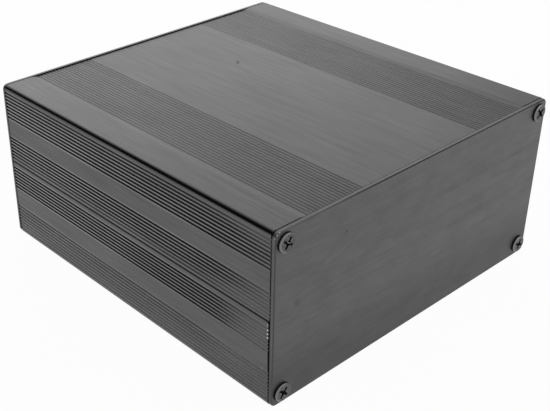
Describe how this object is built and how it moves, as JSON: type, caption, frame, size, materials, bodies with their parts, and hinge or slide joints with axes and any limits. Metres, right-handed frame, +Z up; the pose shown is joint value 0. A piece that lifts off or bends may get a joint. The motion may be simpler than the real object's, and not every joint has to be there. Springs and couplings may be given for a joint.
{
  "type": "extruded aluminium enclosure",
  "caption": "Rectangular electronics case of grooved half shells that interlock along the sides, closed by flat end panels held with pan head screws.",
  "frame": {"origin": "on the table, under the middle of the closed case", "axes": "+Y along the extrusion, the front panel at -Y; +X across the broad faces to the right seen from the front; +Z up"},
  "size_m": [0.145, 0.1554, 0.068],
  "materials": {
    "anodised_extrusion": "black anodised, satin, fine die lines along the length",
    "anodised_panel": "black anodised over brushing along the width",
    "screw_steel": "black oxide"
  },
  "bodies": {
    "root": {"upper_shell": "anodised_extrusion", "lower_shell": "anodised_extrusion", "front_panel": "anodised_panel", "rear_panel": "anodised_panel", "screw_front_top_left": "screw_steel", "screw_front_top_right": "screw_steel", "screw_front_bottom_left": "screw_steel", "screw_front_bottom_right": "screw_steel", "screw_rear_top_left": "screw_steel", "screw_rear_top_right": "screw_steel", "screw_rear_bottom_left": "screw_steel", "screw_rear_bottom_right": "screw_steel"}
  },
  "joints": []
}
